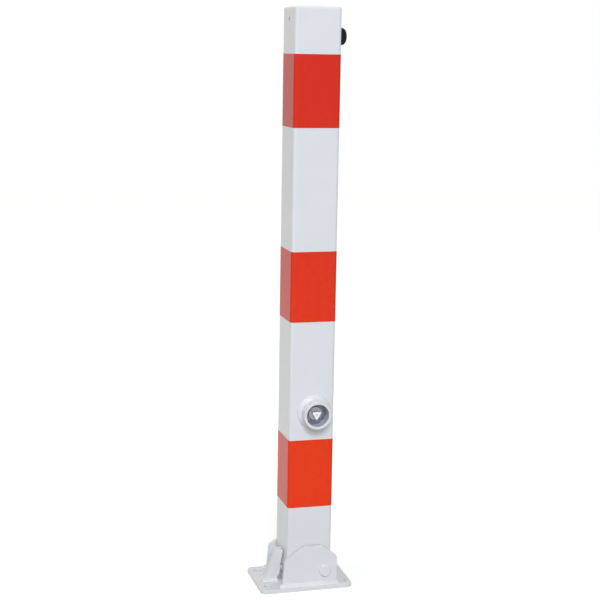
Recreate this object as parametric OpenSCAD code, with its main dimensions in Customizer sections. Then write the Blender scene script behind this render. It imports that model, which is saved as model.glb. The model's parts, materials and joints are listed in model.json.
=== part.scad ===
// Fold-down parking bollard: a square steel post hinged between two cheeks on a bolted base plate.
// A triangular spindle in the collar on the front turns a crank, which swings a latch lever
// inside the post, and the latch's nose enters a notch in the slanted keeper on the plate.
// Origin: centre of the base plate's underside. +Z up, the post folds towards +X, the lock faces -Y.
// It is drawn unlocked and upright.

/* [Base plate] */
// Length of the base plate along X
plate_len = 145; // [130:1:180]
// Width of the base plate along Y
plate_w = 102; // [98:1:130]
// Thickness of the base plate
plate_t = 6; // [4:0.5:10]
// Radius of the plate's corners
plate_corner_r = 9; // [3:0.5:14]
// Diameter of the anchor holes
anchor_d = 12; // [9:0.5:14]
// Distance between anchor holes along X
anchor_dx = 118; // [115:1:125]
// Distance between anchor holes along Y
anchor_dy = 70; // [50:1:76]

/* [Post] */
// Outer width of the square tube
post_size = 70; // [66:1:74]
// Wall of the tube
post_wall = 3; // [2:0.5:4]
// Outer radius of the tube's corners
post_corner_r = 5; // [4:0.5:8]
// Height of the tube's top edge above the ground
post_top = 875; // [860:5:1100]
// Distance of the post's axis from the plate's centre
post_x = 6; // [4:0.5:8]
// Gap between the tube's foot and the plate
foot_gap = 0.3; // [0.2:0.1:1]
// Diameter of the vent hole in the side wall
vent_d = 7.5; // [3:0.5:8]
// Distance of the vent hole below the tube's top edge
vent_drop = 15; // [13:1:30]

/* [Cap] */
// Height of the cap above the tube's edge, at the sides
cap_t = 3.6; // [3.5:0.1:6]
// Further rise of the cap's crown in the middle
cap_crown = 0.9; // [0.2:0.1:3]
// Radius of the cap's rounded rim
cap_rim_r = 3.4; // [1:0.1:3.4]
// Depth of the plug below the cap
cap_plug = 8; // [4:1:9]

/* [Bands] */
// Height of each reflective band
band_h = 106; // [60:1:110]
// Distance of the highest band's upper edge below the tube's top edge
band_drop = 64; // [64:1:90]
// Height of the lowest band's lower edge
band_z = 129; // [100:1:129]
// Thickness of the film
band_t = 0.3; // [0.2:0.05:0.5]

/* [Hinge cheeks] */
// Thickness of each cheek
cheek_t = 6; // [4:0.5:6]
// Gap between the post and each cheek
cheek_gap = 2; // [1.8:0.1:3]
// Height of the cheek's top edge above the ground
cheek_top = 67; // [60:1:75]
// Height of the outer corners above the ground
cheek_shoulder = 46; // [42:1:52]
// Reach of the cheek past the post's left face, at the plate
cheek_left = 9; // [7:1:15]
// Lean of the cheek's left edge: how far its shoulder is set in
cheek_lean = 3.5; // [0:0.5:6]
// Reach of the cheek past the post's right face
cheek_right = 7.5; // [5:0.5:9]
// Left end of the top edge, from the post's axis
cheek_top_left = 10; // [5:1:15]
// Right end of the top edge, from the post's axis
cheek_top_right = 20; // [15:1:25]
// Radius of the cheek's corners
cheek_corner_r = 7; // [2:0.5:9]

/* [Hinge] */
// Distance of the hinge axis from the post's right face
hinge_in = 11.5; // [11.5:0.1:12.5]
// Height of the hinge axis above the ground
hinge_z = 27.5; // [26:0.1:29]
// Diameter of the hinge pin
pin_d = 12; // [10:0.5:12]
// Diameter of the hinge pin's head
pin_head_d = 18; // [16:0.5:20]
// Height of the hinge pin's head
pin_head_h = 4; // [3:0.5:6]
// Length of the pin past the washer
pin_tail = 7.5; // [6:0.5:10]
// Running gap round the pin in the sleeve
pin_gap = 0.05; // [0.03:0.01:0.1]
// Wall of the hinge sleeve in the post
sleeve_wall = 2; // [1.2:0.1:2]
// Thickness of the shim between the post and each cheek
shim_t = 1.6; // [1:0.1:1.8]
// Outer diameter of the shims
shim_d = 24; // [20:1:26]
// Thickness of the washer on the pin
washer_t = 2.5; // [1.5:0.5:3]
// Outer diameter of the washer on the pin
washer_d = 24; // [20:1:28]
// Diameter of the split pin
split_d = 3.2; // [2:0.1:4]

/* [Keeper] */
// Distance of the keeper's foot from the post's left face
keeper_out = 20.4; // [20:0.1:21]
// Lean of the keeper towards the post, in degrees
keeper_lean = 22; // [21:0.5:22.5]
// Thickness of the keeper bar
keeper_t = 17; // [16:0.5:17.5]
// Width of the keeper bar along Y
keeper_w = 16; // [14:1:24]
// Height of the keeper's head above the ground
keeper_top = 54.5; // [52:0.5:56]
// Distance of the keeper's middle in front of the post's axis
keeper_front = 5; // [4:0.5:6]
// Depth of the notch in the keeper
notch_depth = 8.5; // [8:0.5:9]
// Start of the notch along the keeper
notch_from = 17; // [16.5:0.5:17.5]
// Height of the notch
notch_h = 11; // [10:0.5:11.5]

/* [Lock] */
// Distance of the lock from the post's axis
lock_dx = 3.5; // [0:0.5:6]
// Height of the lock above the ground
lock_z = 278; // [270:1:300]
// Outer diameter of the collar
collar_d = 42.4; // [38:0.1:44]
// Wall of the collar
collar_wall = 4; // [2.5:0.1:4.5]
// Length of the collar
collar_len = 23; // [19:0.5:26]
// Leg of the weld round the collar
collar_weld_leg = 5.5; // [3:0.5:6]
// Thickness of the plate at the bottom of the collar
lock_plate_t = 4; // [3:0.5:6]
// Diameter of the spindle
spindle_d = 14; // [10:0.5:14]
// Running gap round the spindle
spindle_gap = 0.05; // [0.03:0.01:0.1]
// Diameter of the spindle's tail in the crank
tail_d = 9; // [7:0.5:9]
// Diameter of the spindle's flange
flange_d = 20; // [18:0.5:22]
// Thickness of the spindle's flange
flange_t = 3; // [2:0.5:4]
// Side of the triangular head
key_side = 15; // [12:0.5:16]
// Length of the triangular head
key_len = 9; // [7:0.5:11]
// Length of the bush behind the lock plate
bush_len = 14; // [10:0.5:15]
// Diameter of the crank pin
crank_pin_d = 6; // [5:0.5:6]

/* [Latch] */
// Height of the latch's axle above the ground
axle_z = 136; // [135:1:140]
// Diameter of the latch's axle
axle_d = 10; // [8:0.5:11]
// Swing of the latch for a quarter turn of the key, in degrees
latch_swing = 5.1; // [5:0.1:5.3]
// Thickness of the latch lever
lever_t = 8; // [6:0.5:10]
// Width of the latch lever
lever_w = 20; // [18:0.5:24]
// Width of the latch's tongue along Y
tongue_w = 12; // [10:1:13]
// Gap round the nose in the keeper's notch
nose_gap = 1.2; // [0.8:0.1:1.4]
// Side gap between the crank pin and its slot
slot_gap = 0.5; // [0.4:0.1:0.8]

/* [Buffer] */
// Diameter of the rubber buffer
buffer_d = 25; // [20:1:30]
// Length of the rubber buffer
buffer_len = 15.7; // [12:0.1:16]
// Radius of the buffer's rounded edge
buffer_edge_r = 6; // [2:0.5:8]
// Distance of the buffer below the tube's top edge
buffer_drop = 38; // [30:1:48]
// Diameter of the buffer's stud
stud_d = 8; // [6:1:10]

/* [Hidden] */
$fn = 48;

// Plain working values
cut = 1;             // how far a cutter runs past the face that it opens
fit_gap = 0.1;       // radial gap of parts that are fitted and stay put
seat_gap = 0.3;      // gap of parts that move past each other
bolt_gap = 0.2;      // radial gap of a fastener in its hole
arc_steps = 6;       // segments of a rounded outline corner
weld_leg = 5;        // leg of the welds at the foot of the cheeks
keeper_weld_leg = 4; // leg of the weld round the foot of the keeper

white = [0.86, 0.87, 0.88];
red = [0.88, 0.2, 0.14];
zinc = [0.55, 0.57, 0.58];
bright_zinc = [0.78, 0.79, 0.8];
black = [0.08, 0.08, 0.08];
nylon = [0.9, 0.89, 0.84];

// Post and its hollow
post_half = post_size / 2;
inner_half = post_half - post_wall;
post_foot = plate_t + foot_gap;
post_left = post_x - post_half;
post_right = post_x + post_half;
hinge_x = post_right - hinge_in;
sleeve_r = pin_d / 2 + pin_gap + sleeve_wall;
relief_r = hinge_z - post_foot;
upper_band_z = post_top - band_drop - band_h;

// Cheeks: their ends along X, and their faces across the post
cheek_from = post_left - cheek_left;
cheek_to = post_right + cheek_right;
cheek_in = post_half + cheek_gap;
cheek_out = cheek_in + cheek_t;
right_shoulder_up = 4;
rear_cheek_past = 5;
split_y = cheek_out + washer_t + split_d / 2 + 1;

// Lock, measured outwards from the post's front face
lock_x = post_x + lock_dx;
bush_wall = 3;
bush_r = spindle_d / 2 + spindle_gap + bush_wall;
bush_flange_w = 3;
bush_flange_t = 3;
spindle_washer_t = 1.5;
crank_t = 6;
crank_hub_wall = 5.5;
crank_hub_r = tail_d / 2 + crank_hub_wall;
crank_lobe_wall = 2.5;
crank_pin_past = 2;
cross_d = 2.5;
crank_face = bush_len + spindle_washer_t + crank_t;

// Latch: the lever's axle stands straight below the lock
crank_r = (lock_z - axle_z) * sin(latch_swing) / (sqrt(2) - sin(latch_swing) / sqrt(2));
crank_arm_r = crank_r * cos(45) + lock_z - axle_z;
latch_bush_wall = 2;
latch_bush_r = axle_d / 2 + pin_gap + latch_bush_wall;
latch_bush_past = 1;
spacer_wall = 3;

// Keeper: its head stands upright beside the post, clear of the post's foot as that swings past
keeper_clear = 1.2;
keeper_head_w = 11;
keeper_bevel = 2;
keeper_head_right = post_left - 1;
keeper_head_left = keeper_head_right - keeper_head_w;
sweep_r = norm([hinge_x - post_left, hinge_z - post_foot]);
keeper_sweep_x = hinge_x - sweep_r - keeper_clear;
keeper_y = -keeper_front;

// Latch head: an upright block inside the post, with a tongue that lies across the keeper when locked.
// The tongue is laid out in the keeper's own frame: u across the bar towards the post, s up along the bar
head_t = 9;
head_x = post_left + post_wall + 1.2;
head_back = head_x + head_t;
head_past = 3;
tongue_root = head_x + head_t / 2;
head_rear = 6;
tongue_tip = keeper_t / 2 - notch_depth + nose_gap;
tongue_from = notch_from + nose_gap * 1.5;
tongue_to = notch_from + notch_h - nose_gap;
head_from = keeper_at(head_x, tongue_from)[1] - head_past;
head_to = keeper_at(head_x, tongue_to)[1] + head_past * 3;

// Buffer: its stud carries a plate under the rubber, and a washer and a nut inside the post
stud_plate_t = 1.5;
stud_plate_d = buffer_d - 5;
stud_in = 4;
stud_past = 3;
buffer_washer_t = 1.6;
nut_h = stud_d * 0.8;
nut_flats = stud_d * 1.625;

// Window in the post's wall for the tongue
window_gap = 1.3;
window_w = tongue_w + 2 * window_gap;
window_from = keeper_at(post_left + post_wall, tongue_from)[1] - window_gap;
window_to = keeper_at(post_left, tongue_to)[1] + window_gap;
window_corner_r = 2.5;

// A point of the keeper's frame as X and Z of the whole part
function keeper_point(u, s) = [
    post_left - keeper_out + u * cos(keeper_lean) + s * sin(keeper_lean),
    plate_t - u * sin(keeper_lean) + s * cos(keeper_lean)];

// The point of the keeper's frame at the height s along the bar that has this X
function keeper_at(x, s) =
    keeper_point((x - post_left + keeper_out - s * sin(keeper_lean)) / cos(keeper_lean), s);

// X and Z turned about the latch's axle, the top towards +X for a positive angle
function swing(p, a) = let (dx = p[0] - lock_x, dz = p[1] - axle_z) [
    lock_x + dx * cos(a) + dz * sin(a),
    axle_z - dx * sin(a) + dz * cos(a)];

// A point of the latch head as locked, moved to where it rests unlocked
function unlocked(p) = swing(p, -latch_swing);

// Points of a round corner between two straight stretches of an outline
function round_corner(before, corner, after, r) = let (
    a = (before - corner) / norm(before - corner),
    b = (after - corner) / norm(after - corner),
    half = acos(a * b) / 2,
    mid = corner + (a + b) / norm(a + b) * r / sin(half),
    from = corner + a * r / tan(half) - mid,
    to = corner + b * r / tan(half) - mid,
    turn = acos(min(1, from * to / (r * r))),
    side = sign(from[0] * to[1] - from[1] * to[0]))
    [for (i = [0 : arc_steps]) let (t = side * turn * i / arc_steps)
        mid + [from[0] * cos(t) - from[1] * sin(t), from[0] * sin(t) + from[1] * cos(t)]];

module rounded_square(w, l, r) {
    square([w - 2 * r, l], center = true);
    square([w, l - 2 * r], center = true);
    for (x = [-1, 1], y = [-1, 1])
        translate([x * (w / 2 - r), y * (l / 2 - r)])
            circle(r);
}

// An outline drawn in X and Z, given its thickness along Y
module upright(y_from, y_to) {
    translate([0, y_to, 0])
        rotate([90, 0, 0])
            linear_extrude(y_to - y_from)
                children();
}

// A round piece along Y through the point x, z
module along_y(x, z, y_from, y_to, d) {
    translate([x, y_to, z])
        rotate([90, 0, 0])
            cylinder(h = y_to - y_from, d = d);
}

// The lock's axis: the origin lies on the post's front face, +Z points out of it
module at_lock() {
    translate([lock_x, -post_half, lock_z])
        rotate([90, 0, 0])
            children();
}

// The buffer's axis: the origin lies on the post's side face, +Z points out of it
module at_buffer() {
    translate([post_right, 0, post_top - buffer_drop])
        rotate([0, 90, 0])
            children();
}

module tube_ring(h, d_out, d_in) {
    difference() {
        cylinder(h = h, d = d_out);
        translate([0, 0, -cut])
            cylinder(h = h + 2 * cut, d = d_in);
    }
}

module base_plate() {
    color(white)
        difference() {
            linear_extrude(plate_t)
                rounded_square(plate_len, plate_w, plate_corner_r);
            for (x = [-1, 1], y = [-1, 1])
                translate([x * anchor_dx / 2, y * anchor_dy / 2, -cut])
                    cylinder(h = plate_t + 2 * cut, d = anchor_d);
        }
}

// Outline of a cheek in X and Z
module cheek_outline(past = 0) {
    foot_left = [cheek_from - past, plate_t];
    left = [cheek_from - past + cheek_lean, cheek_shoulder];
    top_left = [post_x - cheek_top_left, cheek_top];
    top_right = [post_x + cheek_top_right, cheek_top];
    right = [cheek_to, cheek_shoulder + right_shoulder_up];
    foot_right = [cheek_to, plate_t];
    polygon(concat(
        [foot_left],
        round_corner(foot_left, left, top_left, cheek_corner_r),
        round_corner(left, top_left, top_right, cheek_corner_r),
        round_corner(top_left, top_right, right, cheek_corner_r),
        round_corner(top_right, right, foot_right, cheek_corner_r),
        [foot_right]));
}

module cheek(y_from, past = 0) {
    color(white)
        difference() {
            upright(y_from, y_from + cheek_t)
                cheek_outline(past);
            along_y(hinge_x, hinge_z, y_from - cut, y_from + cheek_t + cut, pin_d + 2 * fit_gap);
        }
}

module front_cheek() {
    cheek(-cheek_out);
}

module rear_cheek() {
    cheek(cheek_in, rear_cheek_past);
}

// Block cut to a leaning outline with an upright head, and a notch in its inner edge for the tongue
module keeper() {
    half = keeper_t / 2;
    floor = half - notch_depth;
    notch_to = notch_from + notch_h;
    outer = keeper_point(-half, -half * tan(keeper_lean));
    knee_z = plate_t + (keeper_head_left - outer[0]) / tan(keeper_lean);
    sweep_z = keeper_at(keeper_sweep_x, notch_to)[1];
    color(white)
        upright(keeper_y - keeper_w / 2, keeper_y + keeper_w / 2)
            polygon([
                outer,
                keeper_point(half, half * tan(keeper_lean)),
                keeper_point(half, notch_from),
                keeper_point(floor, notch_from),
                keeper_point(floor, notch_to),
                keeper_at(keeper_sweep_x, notch_to),
                [keeper_sweep_x, sweep_z + 3],
                [keeper_head_right, keeper_top - 4],
                [keeper_head_right, keeper_top],
                [keeper_head_left + keeper_bevel, keeper_top],
                [keeper_head_left, keeper_top - keeper_bevel],
                [keeper_head_left, knee_z]]);
}

// Corner weld along a cheek's outer foot, with round ends
module cheek_weld() {
    translate([cheek_from, cheek_out, plate_t])
        rotate([90, 0, 90])
            linear_extrude(cheek_to - cheek_from)
                polygon([[0, 0], [weld_leg, 0], [0, weld_leg]]);
    for (x = [cheek_from, cheek_to])
        translate([x, cheek_out, plate_t])
            rotate([0, 0, x == cheek_from ? 90 : 0])
                rotate_extrude(angle = 90)
                    polygon([[0, 0], [weld_leg, 0], [0, weld_leg]]);
}

module cheek_welds() {
    color(white) {
        cheek_weld();
        mirror([0, 1, 0])
            cheek_weld();
    }
}

// Corner weld all round the keeper's foot
module keeper_welds() {
    half = keeper_t / 2;
    leg = keeper_weld_leg;
    section = [[0, 0], [leg, 0], [0, leg]];
    outer = keeper_point(-half, -half * tan(keeper_lean));
    inner = keeper_point(half, half * tan(keeper_lean));
    rise = leg * [sin(keeper_lean), cos(keeper_lean)];
    color(white) {
        upright(keeper_y - keeper_w / 2, keeper_y + keeper_w / 2) {
            polygon([outer, outer + rise, outer - [leg, 0]]);
            polygon([inner, inner + [leg, 0], inner + rise]);
        }
        for (side = [0, 1])
            translate([0, keeper_y, 0])
                mirror([0, side, 0])
                    translate([outer[0], keeper_w / 2, plate_t]) {
                    rotate([90, 0, 90])
                        linear_extrude(inner[0] - outer[0])
                            polygon(section);
                    rotate([0, 0, 90])
                        rotate_extrude(angle = 90)
                            polygon(section);
                    translate([inner[0] - outer[0], 0, 0])
                        rotate_extrude(angle = 90)
                            polygon(section);
                }
    }
}

module hinge_pin() {
    bevel = 1;
    y_head = -cheek_out;
    y_end = cheek_out + washer_t + pin_tail;
    color(bright_zinc)
        difference() {
            translate([hinge_x, y_head, hinge_z])
                rotate([-90, 0, 0])
                    rotate_extrude()
                        polygon([
                            [0, -pin_head_h],
                            [pin_head_d / 2 - bevel, -pin_head_h],
                            [pin_head_d / 2, bevel - pin_head_h],
                            [pin_head_d / 2, 0],
                            [pin_d / 2, 0],
                            [pin_d / 2, y_end - y_head - bevel],
                            [pin_d / 2 - bevel, y_end - y_head],
                            [0, y_end - y_head]]);
            translate([hinge_x, split_y, hinge_z - pin_d])
                cylinder(h = 2 * pin_d, d = split_d + 2 * bolt_gap);
        }
}

module hinge_washer() {
    color(bright_zinc)
        translate([hinge_x, cheek_out, hinge_z])
            rotate([-90, 0, 0])
                tube_ring(washer_t, washer_d, pin_d + 2 * bolt_gap);
}

// Split pin from above: an eye, a shank through the pin and two ends bent apart
module split_pin() {
    wire_r = split_d / 4;
    eye_r = split_d * 0.75;
    shank = pin_d / 2 + 1.5;
    color(bright_zinc)
        translate([hinge_x, split_y, hinge_z]) {
            translate([0, 0, -shank])
                cylinder(h = 2 * shank, d = split_d);
            translate([0, 0, shank + eye_r])
                rotate([90, 0, 0])
                    rotate_extrude()
                        translate([eye_r, 0])
                            circle(r = wire_r);
            for (side = [-1, 1])
                translate([side * wire_r, 0, -shank])
                    rotate([0, 180 - side * 50, 0])
                        cylinder(h = split_d * 2, r = wire_r);
        }
}

module post_tube() {
    color(white)
        difference() {
            translate([post_x, 0, post_foot])
                linear_extrude(post_top - post_foot)
                    difference() {
                        rounded_square(post_size, post_size, post_corner_r);
                        rounded_square(2 * inner_half, 2 * inner_half, post_corner_r - post_wall);
                    }
            // Window for the latch's tongue
            translate([post_left - cut, keeper_y, (window_from + window_to) / 2])
                rotate([90, 0, 90])
                    linear_extrude(post_wall + 2 * cut)
                        rounded_square(window_w, window_to - window_from, window_corner_r);
            // Foot rounded about the hinge, so that it turns clear of the plate
            difference() {
                translate([hinge_x, -post_half - cut, 0])
                    cube([post_size, post_size + 2 * cut, hinge_z]);
                along_y(hinge_x, hinge_z, -post_size, post_size, 2 * relief_r);
            }
            along_y(hinge_x, hinge_z, -post_size, post_size, 2 * (sleeve_r + fit_gap));
            along_y(lock_x, lock_z, -post_size, 0, 2 * (bush_r + fit_gap));
            along_y(lock_x, axle_z, -post_size, post_size, axle_d + 2 * fit_gap);
            at_buffer()
                translate([0, 0, -post_wall - cut])
                    cylinder(h = post_wall + 2 * cut, d = stud_d + 2 * bolt_gap);
            translate([post_left - cut, 0, post_top - vent_drop])
                rotate([0, 90, 0])
                    cylinder(h = post_wall + 2 * cut, d = vent_d);
        }
}

// Rounded and slightly crowned cover with a plug that fits the tube
module top_cap() {
    corner = post_half - post_corner_r;
    rim = [for (i = [0 : arc_steps]) let (t = 90 * i / arc_steps)
        [post_half - cap_rim_r * (1 - cos(t)), cap_t - cap_rim_r * (1 - sin(t))]];
    color(white)
        translate([post_x, 0, post_top]) {
            for (turn = [0, 90])
                rotate([90, 0, turn])
                    translate([0, 0, -corner])
                        linear_extrude(2 * corner)
                            polygon(concat(
                                [[-post_half, 0], [post_half, 0]],
                                rim,
                                [for (i = [arc_steps : -1 : 0]) [-rim[i][0], rim[i][1]]]));
            for (x = [-1, 1], y = [-1, 1])
                translate([x * corner, y * corner, 0])
                    rotate_extrude()
                        polygon(concat(
                            [[0, 0], [post_corner_r, 0]],
                            [for (p = rim) [p[0] - corner, p[1]]],
                            [[0, cap_t]]));
            translate([0, 0, cap_t])
                linear_extrude(cap_crown, scale = 0.3)
                    square(2 * corner, center = true);
            translate([0, 0, -cap_plug])
                linear_extrude(cap_plug)
                    rounded_square(2 * (inner_half - seat_gap), 2 * (inner_half - seat_gap),
                        post_corner_r - post_wall - seat_gap);
        }
}

module red_band(z) {
    color(red)
        translate([post_x, 0, z])
            linear_extrude(band_h)
                difference() {
                    rounded_square(post_size + 2 * band_t, post_size + 2 * band_t, post_corner_r + band_t);
                    rounded_square(post_size, post_size, post_corner_r);
                }
}

module red_band_lower() {
    red_band(band_z);
}

module red_band_middle() {
    red_band((band_z + upper_band_z) / 2);
}

module red_band_upper() {
    red_band(upper_band_z);
}

module hinge_sleeve() {
    color(zinc)
        translate([hinge_x, -post_half, hinge_z])
            rotate([-90, 0, 0])
                tube_ring(post_size, 2 * sleeve_r, pin_d + 2 * pin_gap);
}

module shim(y_from) {
    color(nylon)
        translate([hinge_x, y_from, hinge_z])
            rotate([-90, 0, 0])
                tube_ring(shim_t, shim_d, pin_d + 2 * bolt_gap);
}

module front_shim() {
    shim(-post_half - shim_t);
}

module rear_shim() {
    shim(post_half);
}

module lock_collar() {
    bevel = 0.6;
    r_out = collar_d / 2;
    r_in = r_out - collar_wall;
    color(white)
        at_lock()
            rotate_extrude($fn = 72)
                polygon([
                    [r_in, 0],
                    [r_out, 0],
                    [r_out, collar_len - bevel],
                    [r_out - bevel, collar_len],
                    [r_in + bevel, collar_len],
                    [r_in, collar_len - bevel]]);
}

// Hollow-faced fillet round the collar's foot
module collar_weld() {
    r = collar_d / 2;
    color(white)
        at_lock()
            rotate_extrude($fn = 72)
                polygon(concat(
                    [[r, 0]],
                    [for (i = [0 : arc_steps]) let (t = i / arc_steps, sag = collar_weld_leg / 9 * sin(180 * t))
                        [r + collar_weld_leg * (1 - t) - sag, collar_weld_leg * t - sag]]));
}

module lock_plate() {
    color(zinc)
        at_lock()
            tube_ring(lock_plate_t, collar_d - 2 * (collar_wall + seat_gap), spindle_d + 2 * spindle_gap);
}

// Flanged bush through the post's front wall
module lock_bush() {
    color(zinc)
        at_lock()
            difference() {
                union() {
                    translate([0, 0, -bush_len])
                        cylinder(h = bush_len, r = bush_r);
                    translate([0, 0, -post_wall - bush_flange_t])
                        cylinder(h = bush_flange_t, r = bush_r + bush_flange_w);
                }
                translate([0, 0, -bush_len - cut])
                    cylinder(h = bush_len + 2 * cut, d = spindle_d + 2 * spindle_gap);
            }
}

// Triangular head, flange and shaft in one turned and milled piece
module key_spindle() {
    tip = 1.2;
    key_r = key_side / sqrt(3);
    color(bright_zinc)
        at_lock()
            difference() {
                union() {
                    translate([0, 0, lock_plate_t])
                        cylinder(h = flange_t, d = flange_d);
                    translate([0, 0, lock_plate_t + flange_t])
                        linear_extrude(key_len)
                            intersection() {
                                polygon([for (i = [0 : 2]) key_r * [cos(120 * i - 90), sin(120 * i - 90)]]);
                                circle(r = key_r - tip);
                            }
                    translate([0, 0, -bush_len - spindle_washer_t])
                        cylinder(h = lock_plate_t + bush_len + spindle_washer_t, d = spindle_d);
                    translate([0, 0, -crank_face - 1])
                        cylinder(h = crank_face + 1, d = tail_d);
                }
                cross_pin_hole();
            }
}

module spindle_washer() {
    color(bright_zinc)
        at_lock()
            translate([0, 0, -bush_len - spindle_washer_t])
                tube_ring(spindle_washer_t, 2 * bush_r + 2, spindle_d + 2 * bolt_gap);
}

// Place of the crank pin, up and to the left of the spindle while unlocked
module at_crank_pin() {
    at_lock()
        rotate([0, 0, 45])
            translate([0, crank_r, 0])
                children();
}

// Hole for the cross pin that holds the crank on the spindle
module cross_pin_hole() {
    rotate([0, 0, 45])
        translate([-spindle_d * 1.5, 0, -crank_face + crank_t / 2])
            rotate([0, 90, 0])
                cylinder(h = spindle_d * 3, d = cross_d + 2 * fit_gap);
}

module crank_arm() {
    lobe_r = crank_pin_d / 2 + crank_lobe_wall;
    color(zinc)
        difference() {
            at_lock()
                translate([0, 0, -crank_face])
                    difference() {
                        linear_extrude(crank_t) {
                            circle(r = crank_hub_r);
                            rotate([0, 0, 45])
                                translate([0, crank_r])
                                    circle(r = lobe_r);
                        }
                        translate([0, 0, -cut])
                            cylinder(h = crank_t + 2 * cut, d = tail_d + 2 * fit_gap);
                    }
            at_crank_pin()
                translate([0, 0, -crank_face - cut])
                    cylinder(h = crank_t + 2 * cut, d = crank_pin_d + 2 * fit_gap);
            at_lock()
                cross_pin_hole();
        }
}

module crank_pin() {
    reach = post_half + lever_t / 2 + crank_pin_past;
    color(bright_zinc)
        at_crank_pin()
            translate([0, 0, -reach])
                cylinder(h = reach - bush_len - spindle_washer_t, d = crank_pin_d);
}

module crank_cross_pin() {
    color(bright_zinc)
        at_lock()
            rotate([0, 0, 45])
                translate([-crank_hub_r, 0, -crank_face + crank_t / 2])
                    rotate([0, 90, 0])
                        cylinder(h = 2 * crank_hub_r, d = cross_d);
}

module latch_axle() {
    color(zinc)
        along_y(lock_x, axle_z, -post_half, post_half, axle_d);
}

module spacer(y_from, y_to) {
    color(zinc)
        translate([lock_x, y_from, axle_z])
            rotate([-90, 0, 0])
                tube_ring(y_to - y_from, axle_d + 2 * spacer_wall, axle_d + 2 * bolt_gap);
}

module front_spacer() {
    spacer(-inner_half, -lever_t / 2 - latch_bush_past - seat_gap);
}

module rear_spacer() {
    spacer(lever_t / 2 + latch_bush_past + seat_gap, inner_half);
}

// Bush pressed into the lever, a little longer than the lever is thick
module latch_bush() {
    color([0.72, 0.56, 0.3])
        translate([lock_x, -lever_t / 2 - latch_bush_past, axle_z])
            rotate([-90, 0, 0])
                tube_ring(lever_t + 2 * latch_bush_past, 2 * latch_bush_r, axle_d + 2 * pin_gap);
}

// Flat lever from the crank down to the back of the latch head
module latch_lever() {
    half_w = lever_w / 2;
    slot_w = crank_pin_d + 2 * slot_gap;
    slot_travel = crank_r * (1 - cos(45)) + 2 * slot_gap;
    hub_r = latch_bush_r + 6;
    color(zinc)
        upright(-lever_t / 2, lever_t / 2)
            difference() {
                union() {
                    translate([lock_x, axle_z]) {
                        circle(r = hub_r);
                        rotate([0, 0, latch_swing / 2]) {
                            translate([-half_w, 0])
                                square([lever_w, crank_arm_r]);
                            translate([0, crank_arm_r])
                                circle(r = half_w);
                        }
                    }
                    polygon([
                        [lock_x - half_w, axle_z],
                        unlocked([head_back, head_to]),
                        unlocked([head_back, head_from]),
                        unlocked([head_back + 6, head_from]),
                        [lock_x + half_w / 2, head_to + 2.5 * lever_w],
                        [lock_x + half_w, axle_z]]);
                }
                translate([lock_x, axle_z]) {
                    circle(r = latch_bush_r);
                    rotate([0, 0, latch_swing / 2])
                        translate([0, crank_arm_r]) {
                            translate([-slot_w / 2, -slot_gap])
                                square([slot_w, slot_travel]);
                            translate([0, -slot_gap])
                                circle(d = slot_w);
                            translate([0, slot_travel - slot_gap])
                                circle(d = slot_w);
                        }
                }
            }
}

// Upright block with the tongue that enters the notch
module latch_head() {
    tip_bevel = 1;
    color(zinc) {
        upright(keeper_y - tongue_w / 2, head_rear)
            polygon([
                unlocked([head_x, head_from]),
                unlocked([head_back, head_from]),
                unlocked([head_back, head_to]),
                unlocked([head_x, head_to])]);
        upright(keeper_y - tongue_w / 2, keeper_y + tongue_w / 2)
            polygon([
                unlocked(keeper_at(tongue_root, tongue_from)),
                unlocked(keeper_at(tongue_root, tongue_to)),
                unlocked(keeper_point(tongue_tip + tip_bevel, tongue_to)),
                unlocked(keeper_point(tongue_tip, tongue_to - tip_bevel)),
                unlocked(keeper_point(tongue_tip, tongue_from + tip_bevel)),
                unlocked(keeper_point(tongue_tip + tip_bevel, tongue_from))]);
    }
}

// Rubber buffer that the folded post rests on, moulded round its stud's plate
module buffer() {
    color(black)
        at_buffer()
            difference() {
                rotate_extrude()
                    polygon(concat(
                        [[0, 0], [buffer_d / 2, 0]],
                        [for (i = [0 : arc_steps]) let (t = 90 * i / arc_steps)
                            [buffer_d / 2 - buffer_edge_r * (1 - cos(t)),
                                buffer_len - buffer_edge_r * (1 - sin(t))]],
                        [[0, buffer_len]]));
                translate([0, 0, -cut])
                    cylinder(h = stud_plate_t + cut, d = stud_plate_d);
                cylinder(h = stud_plate_t + stud_in, d = stud_d);
            }
}

module buffer_stud() {
    tail = post_wall + buffer_washer_t + nut_h + stud_past;
    color(bright_zinc)
        at_buffer() {
            cylinder(h = stud_plate_t, d = stud_plate_d);
            translate([0, 0, -tail])
                cylinder(h = tail + stud_plate_t + stud_in, d = stud_d);
        }
}

module buffer_washer() {
    color(bright_zinc)
        at_buffer()
            translate([0, 0, -post_wall - buffer_washer_t])
                tube_ring(buffer_washer_t, 2 * stud_d, stud_d + 2 * bolt_gap);
}

module buffer_nut() {
    color(bright_zinc)
        at_buffer()
            translate([0, 0, -post_wall - buffer_washer_t - nut_h])
                difference() {
                    cylinder(h = nut_h, d = nut_flats / cos(30), $fn = 6);
                    translate([0, 0, -cut])
                        cylinder(h = nut_h + 2 * cut, d = stud_d + fit_gap);
                }
}

base_plate();
front_cheek();
rear_cheek();
keeper();
cheek_welds();
keeper_welds();
hinge_pin();
hinge_washer();
split_pin();
post_tube();
top_cap();
red_band_lower();
red_band_middle();
red_band_upper();
hinge_sleeve();
front_shim();
rear_shim();
lock_collar();
collar_weld();
lock_plate();
lock_bush();
latch_axle();
front_spacer();
rear_spacer();
buffer();
buffer_stud();
buffer_washer();
buffer_nut();
key_spindle();
spindle_washer();
crank_arm();
crank_pin();
crank_cross_pin();
latch_lever();
latch_head();
latch_bush();
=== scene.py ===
import json
import math

import bmesh
import bpy
from mathutils import Matrix, Vector, noise


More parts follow.
